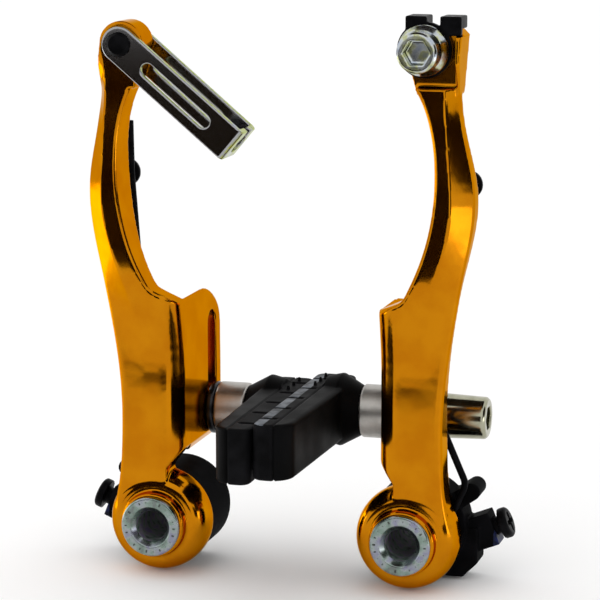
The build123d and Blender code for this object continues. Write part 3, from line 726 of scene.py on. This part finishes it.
@dataclass
class Arm:
    """A forged arm, polished all over."""

    side: Side
    face_mm: float = 0.3
    passes: int = 6

    def build(self) -> bpy.types.Object:
        """Round the arm's edges."""
        return softened(self.side.node("arm"), self.face_mm, self.passes)

    def dress(self) -> None:
        """Give the arm its gold film."""
        dress(self.build(), ANODISED, self.side.node("arm"))


# Each side's marks are of other strengths
MARK_SEED = {Side.LEFT: 7, Side.RIGHT: 12}


@dataclass
class PivotBush:
    """Flanged bush with a ring of small punch marks on its face and a bore painted dark as shade."""

    side: Side
    face_mm: float = 0.2
    passes: int = 3
    bore_mm: float = 4.3
    mouth_mm: float = 1.3
    mark_count: int = 22
    mark_ring_mm: float = 5.7
    mark_mm: Triple = (0.7, 0.42, 0.1)
    mark_spread: Pair = (0.15, 1.0)

    centre: Vector = field(init=False)

    def __post_init__(self) -> None:
        """Find the middle of the flange's face."""
        low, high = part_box(self.side.node("pivot_bush"))
        self.centre = Vector(((low[0] + high[0]) / 2, low[1], (low[2] + high[2]) / 2))

    def marks(self) -> bpy.types.Object:
        """Set the marks around the flange's face, each of its own strength.

        Returns:
            One mesh with all the marks.
        """
        maker = NodeTreeMaker(self.side.node("flange_marks"))
        ring = maker.add(
            "GeometryNodeMeshCircle",
            links={
                "Vertices": maker.size("Mark Count", self.mark_count, "NodeSocketInt"),
                "Radius": maker.size("Ring Radius", self.mark_ring_mm * MM),
            },
        )
        mark = maker.add(
            "GeometryNodeMeshCube",
            links={"Size": maker.size("Mark Size", Vector(self.mark_mm) * MM, "NodeSocketVector")},
        )
        spot = maker.add("GeometryNodeInputPosition")
        turn = maker.add(
            "FunctionNodeAlignRotationToVector", {"axis": "X"}, {"Vector": spot.outputs["Position"]}
        )
        # The random node's second set of sockets, by index, is the one for plain numbers
        spread = maker.add(
            "FunctionNodeRandomValue",
            {"data_type": "FLOAT"},
            {
                2: maker.size("Least Strength", self.mark_spread[0]),
                3: maker.size("Most Strength", self.mark_spread[1]),
                "Seed": maker.size("Seed", MARK_SEED[self.side], "NodeSocketInt"),
            },
        )
        marks = maker.add(
            "GeometryNodeInstanceOnPoints",
            links={
                "Points": ring.outputs["Mesh"],
                "Instance": mark.outputs["Mesh"],
                "Rotation": turn.outputs["Rotation"],
                "Scale": spread.outputs[1],
            },
        )
        stood = maker.add(
            "GeometryNodeTransform",
            {"Rotation": Euler((math.radians(90), 0, 0))},
            {
                "Geometry": marks.outputs["Instances"],
                "Translation": maker.size("Face Centre", self.centre, "NodeSocketVector"),
            },
        )
        return maker.run(self.side.node("flange_marks"), stood.outputs["Geometry"], BRUISE)

    def in_bore(self, face: bpy.types.MeshPolygon) -> bool:
        """Tell whether a face lies on the wall of the bore, behind its bright mouth."""
        across = face.center - self.centre
        return across.y > self.mouth_mm * MM and math.hypot(across.x, across.z) < self.bore_mm * MM

    def dress(self) -> None:
        """Plate the bush, paint shade into its bore and bruise its flange."""
        node = self.side.node("pivot_bush")
        bush = softened(node, self.face_mm, self.passes)
        dress(bush, ZINC, node)
        # The wall of the bore is painted dark: painted shade in the recess
        paint(bush, SHADED_BORE, self.in_bore)
        dress(self.marks(), BRUISE, node, stands_for_node=False)


@dataclass
class PadAssembly:
    """Brake pad on its stud, with the washers and the barrel nut that clamp it.

    The friction block is block_mm thick. The seam is cut where the skin's normal leans less than
    seam_lean along x, and dust lies where it leans more than dust_lean upwards. The nubs stand at
    nub_place of the block's thickness and taper to nub_tip of their radius.
    """

    side: Side
    pad_face_mm: float = 0.28
    small_face_mm: float = 0.2
    passes: int = 3
    block_mm: float = 4.9
    seam_mm: float = 0.55
    seam_depth_mm: float = 0.5
    seam_lean: float = 0.5
    slide_gap_mm: float = 0.03
    dust_mm: float = 2.7
    dust_lean: float = 0.75
    half_height_mm: float = 6.2
    nub_inset_mm: float = 4.5
    nub_count: int = 3
    nub_step_mm: float = 4.6
    nub_mm: Pair = (0.42, 0.9)
    nub_place: float = 0.6
    nub_tip: float = 0.6
    nub_sides: int = 12

    friction_face: float = field(init=False)

    def __post_init__(self) -> None:
        """Find where the friction face stands."""
        low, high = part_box(self.side.node("brake_pad"))
        self.friction_face = high[0] if self.side is Side.LEFT else low[0]

    def depth_in_pad(self, place: Vector) -> float:
        """Distance of a point behind the friction face."""
        return (place.x - self.friction_face) * self.side.outward

    def seam_depth(self, vertex: bpy.types.MeshVertex) -> float:
        """Depth of the seam at a vertex of the pad.

        Args:
            vertex: The vertex.

        Returns:
            The depth in metres, which is 0 away from the seam.
        """
        off = abs(self.depth_in_pad(vertex.co) - self.block_mm * MM) / (self.seam_mm * MM / 2)
        if off >= 1 or abs(vertex.normal.x) >= self.seam_lean:
            return 0.0
        return self.seam_depth_mm * MM * (1 - off)

    def in_block(self, face: bpy.types.MeshPolygon) -> bool:
        """Tell whether a face belongs to the friction block."""
        return self.depth_in_pad(face.center) < self.block_mm * MM

    def in_dust(self, face: bpy.types.MeshPolygon) -> bool:
        """Tell whether a face lies on the dusty strip of the block's top."""
        return face.normal.z > self.dust_lean and self.depth_in_pad(face.center) < self.dust_mm * MM

    def pad(self) -> bpy.types.Object:
        """Shape the pad, with a seam where the friction block sits in its shell.

        Returns:
            The pad.
        """
        pad = softened(self.side.node("brake_pad"), self.pad_face_mm, self.passes)
        push_in(pad, self.seam_depth)
        return pad

    def nubs(self) -> bpy.types.Object:
        """Stand small moulding nubs along the far top of the block.

        Returns:
            One mesh with all the nubs.
        """
        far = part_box(self.side.node("brake_pad"))[1][1]
        low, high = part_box(self.side.node("pad_stud"))
        start = Vector(
            (
                self.friction_face + self.side.outward * self.block_mm * self.nub_place * MM,
                far - self.nub_inset_mm * MM,
                (low[2] + high[2]) / 2 + self.half_height_mm * MM,
            )
        )
        maker = NodeTreeMaker(self.side.node("pad_nubs"))
        row = maker.add(
            "GeometryNodeMeshLine",
            links={
                "Count": maker.size("Nub Count", self.nub_count, "NodeSocketInt"),
                "Start Location": maker.size("First Nub", start, "NodeSocketVector"),
                "Offset": maker.size("Step", Vector((0, -self.nub_step_mm * MM, 0)), "NodeSocketVector"),
            },
        )
        nub = maker.add(
            "GeometryNodeMeshCone",
            {"Vertices": self.nub_sides},
            {
                "Radius Bottom": maker.size("Nub Radius", self.nub_mm[0] * MM),
                "Radius Top": maker.size("Nub Tip", self.nub_mm[0] * self.nub_tip * MM),
                "Depth": maker.size("Nub Height", self.nub_mm[1] * MM),
            },
        )
        nubs = maker.add(
            "GeometryNodeInstanceOnPoints",
            links={"Points": row.outputs["Mesh"], "Instance": nub.outputs["Mesh"]},
        )
        return maker.run(self.side.node("pad_nubs"), nubs.outputs["Instances"], RUBBER)

    def dress_pad(self) -> None:
        """Dress the pad, its friction block, the dust on the right one and the nubs."""
        node = self.side.node("brake_pad")
        pad = self.pad()
        dress(pad, SHELL, node)
        paint(pad, RUBBER, self.in_block)
        if self.side is Side.RIGHT:
            paint(pad, DUSTY, self.in_dust)
        dress(self.nubs(), RUBBER, node, stands_for_node=False)

    def dress_clamp(self) -> None:
        """Dress the stud and what clamps it, with the washers a hair thinner so that they slide clear."""
        finishes = {
            "pad_stud": BRIGHT_ZINC,
            "inner_washer": WASHER,
            "pad_spacer": SATIN,
            "outer_washer": SATIN,
            "pad_nut": CHROME,
        }
        for piece, finish in finishes.items():
            node = self.side.node(piece)
            shape = softened(node, self.small_face_mm, self.passes)
            if piece.endswith("washer"):
                push_in(shape, lambda vertex: self.slide_gap_mm * MM)
            dress(shape, finish, node)

    def dress(self) -> None:
        """Dress the pad and what clamps it."""
        self.dress_pad()
        self.dress_clamp()


@dataclass
class SpringHousing:
    """Moulded spring cup with its adjuster screw, the spring and the pin that the spring pushes."""

    side: Side
    face_mm: float = 0.24
    passes: int = 3
    film_mm: float = 1.3

    def dress(self) -> None:
        """Dress the cup, with thread lock at its screw hole, and the screw, the spring and the pin."""
        finishes = {
            "spring_housing": NYLON,
            "adjuster_screw": OXIDE,
            "return_spring": OXIDE,
            "spring_pin": OXIDE,
        }
        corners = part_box(self.side.node("spring_housing"))
        film = max(corner[0] * self.side.outward for corner in corners) - self.film_mm * MM
        for piece, finish in finishes.items():
            node = self.side.node(piece)
            shape = softened(node, self.face_mm, self.passes)
            dress(shape, finish, node)
            if piece == "spring_housing":
                paint(shape, THREAD_LOCK, lambda face: face.center.x * self.side.outward > film)


@dataclass
class CableLink:
    """Folded steel link on the left arm, and its rivet.

    A face is a sheared edge where its normal leans less than plate_lean along y.
    """

    face_mm: float = 0.16
    passes: int = 3
    plate_lean: float = 0.8

    def dress(self) -> None:
        """Dress the link, its sheared edges with their painted highlight and painted reflection of the gold
        arm, and the rivet.
        """
        link = softened("cable_link", self.face_mm, self.passes)
        dress(link, STAMPED, "cable_link")
        # The sheared edges are painted bright yellow-green: painted highlight and painted reflection of the
        # gold arm
        paint(link, SHEARED_HIGHLIGHT, lambda face: abs(face.normal.y) < self.plate_lean)
        dress(softened("link_rivet", self.face_mm, self.passes), OXIDE, "link_rivet")


@dataclass
class CableAnchor:
    """Anchor plate and bolt on the right arm."""

    face_mm: float = 0.16
    plate_passes: int = 16
    bolt_passes: int = 3

    def dress(self) -> None:
        """Dress the plate, whose horns are well rounded, and the bolt."""
        dress(softened("anchor_plate", self.face_mm, self.plate_passes), OXIDE, "anchor_plate")
        dress(softened("anchor_bolt", self.face_mm, self.bolt_passes), BRIGHT_ZINC, "anchor_bolt")


@dataclass(frozen=True)
class Board:
    """A flat sheet of the studio: its middle and its sides in metres, and its turn in degrees."""

    centre: Triple
    size: Pair
    turn: Triple = (0, 0, 0)


@dataclass(frozen=True)
class Lamp:
    """A soft rectangular lamp: its place, aim and sides in metres, and its power in watts."""

    name: str
    place: Triple
    aim: Triple
    size: Pair
    power: float


class Card(Enum):
    """Dark cards that stand round the brake and show only in its polish."""

    FRONT = Board((-0.085, -0.225, 0.044), (0.25, 0.112), (90, 0, 0))
    RIGHT_HIGH = Board((0.42, -0.05, 0.19), (0.34, 0.26), (90, 0, 90))
    RIGHT_FRONT = Board((0.34, -0.26, 0.05), (0.2, 0.124), (90, 0, 60))
    ABOVE = Board((0.0, 0.0, 0.55), (0.5, 0.5))


@dataclass
class Studio:
    """White studio: camera, floor, soft lamps and dark cards."""

    aim_mm: Triple = (6.03, -25.98, 53.5)
    azimuth: float = 15.8
    elevation: float = 10.5
    distance_mm: float = 550.0
    lens_mm: float = 151.8
    sensor_mm: float = 36.0
    near_m: float = 0.01
    floor_colour: str = "#FCFCFC"
    floor_m: float = 12.0
    floor_drop_mm: float = 0.4
    card_colour: str = "#241C14"
    sheet_roughness: float = 0.9
    surround: float = 1.05
    lamps: tuple[Lamp, ...] = (
        Lamp("left_strip", (-0.22, 0.035, 0.02), (-0.03, 0.0, 0.06), (0.2, 0.066), 0.1),
        Lamp("right_strip", (0.25, -0.065, 0.014), (0.03, -0.03, 0.05), (0.1, 0.054), 0.032),
    )

    def camera(self) -> None:
        """Stand the camera where the photograph was taken from."""
        a, e = math.radians(self.azimuth), math.radians(self.elevation)
        back = Vector((math.sin(a) * math.cos(e), -math.cos(a) * math.cos(e), math.sin(e)))
        data = bpy.data.cameras.new("camera")
        data.lens = self.lens_mm
        data.sensor_width = self.sensor_mm
        data.clip_start = self.near_m
        eye = bpy.data.objects.new("camera", data)
        bpy.context.scene.collection.objects.link(eye)
        eye.location = Vector(self.aim_mm) * MM + back * self.distance_mm * MM
        eye.rotation_euler = (-back).to_track_quat("-Z", "Y").to_euler()
        bpy.context.scene.camera = eye

    def sheet(self, name: str, board: Board, code: str) -> bpy.types.Object:
        """Make a flat stage sheet.

        Args:
            name: Name of the sheet.
            board: Its place, size and turn.
            code: Hex code of its colour.

        Returns:
            The sheet.
        """
        turn = Euler([math.radians(angle) for angle in board.turn]).to_matrix()
        half = Vector((board.size[0] / 2, board.size[1] / 2, 0))
        corners = [Vector((x * half.x, y * half.y, 0)) for x, y in ((-1, -1), (1, -1), (1, 1), (-1, 1))]
        form = bmesh.new()
        form.faces.new([form.verts.new(Vector(board.centre) + turn @ corner) for corner in corners])
        mesh = bpy.data.meshes.new(name)
        form.to_mesh(mesh)
        form.free()
        coat = bpy.data.materials.new(name + "_paint")
        coat.use_nodes = True
        shader = coat.node_tree.nodes["Principled BSDF"]
        shader.inputs["Base Color"].default_value = linear(code)
        shader.inputs["Roughness"].default_value = self.sheet_roughness
        shader.inputs["Specular IOR Level"].default_value = 0.0
        mesh.materials.append(coat)
        sheet = place_mesh(name, mesh)
        return sheet

    def floor(self) -> None:
        """Lay a white floor under the lowest point of the brake."""
        level = CAD_BOX[0][2] - self.floor_drop_mm * MM
        self.sheet("floor", Board((0, 0, level), (self.floor_m, self.floor_m)), self.floor_colour)

    def cards(self) -> None:
        """Stand the dark cards, which neither the camera nor soft light sees."""
        for card in Card:
            sheet = self.sheet("card_" + card.name.lower(), card.value, self.card_colour)
            sheet.visible_camera = False
            sheet.visible_diffuse = False
            sheet.visible_shadow = False

    def light(self) -> None:
        """Hang the lamps and set the white surround."""
        for lamp in self.lamps:
            data = bpy.data.lights.new(lamp.name, "AREA")
            data.shape = "RECTANGLE"
            data.size, data.size_y = lamp.size
            data.energy = lamp.power
            hung = bpy.data.objects.new(lamp.name, data)
            bpy.context.scene.collection.objects.link(hung)
            hung.location = lamp.place
            hung.rotation_euler = (Vector(lamp.aim) - Vector(lamp.place)).to_track_quat("-Z", "Y").to_euler()
            hung.visible_camera = False
        world = bpy.data.worlds.new("white_studio")
        bpy.context.scene.world = world
        world.use_nodes = True
        tree = world.node_tree
        tree.nodes.clear()
        glow = add_node(
            tree, "ShaderNodeBackground", {"Color": (1.0, 1.0, 1.0, 1.0), "Strength": self.surround}
        )
        add_node(tree, "ShaderNodeOutputWorld", links={"Surface": glow.outputs["Background"]})
        bpy.context.scene.view_settings.view_transform = "Standard"

    def build(self) -> None:
        """Set up the whole studio."""
        self.camera()
        self.floor()
        self.cards()
        self.light()


def main() -> None:
    """Build and dress the brake piece by piece, then the studio."""
    logging.basicConfig(level=logging.INFO, format="%(message)s")
    for side in Side:
        Arm(side).dress()
        PivotBush(side).dress()
        PadAssembly(side).dress()
        SpringHousing(side).dress()
    CableLink().dress()
    CableAnchor().dress()
    Studio().build()


if __name__ == "__main__":
    main()
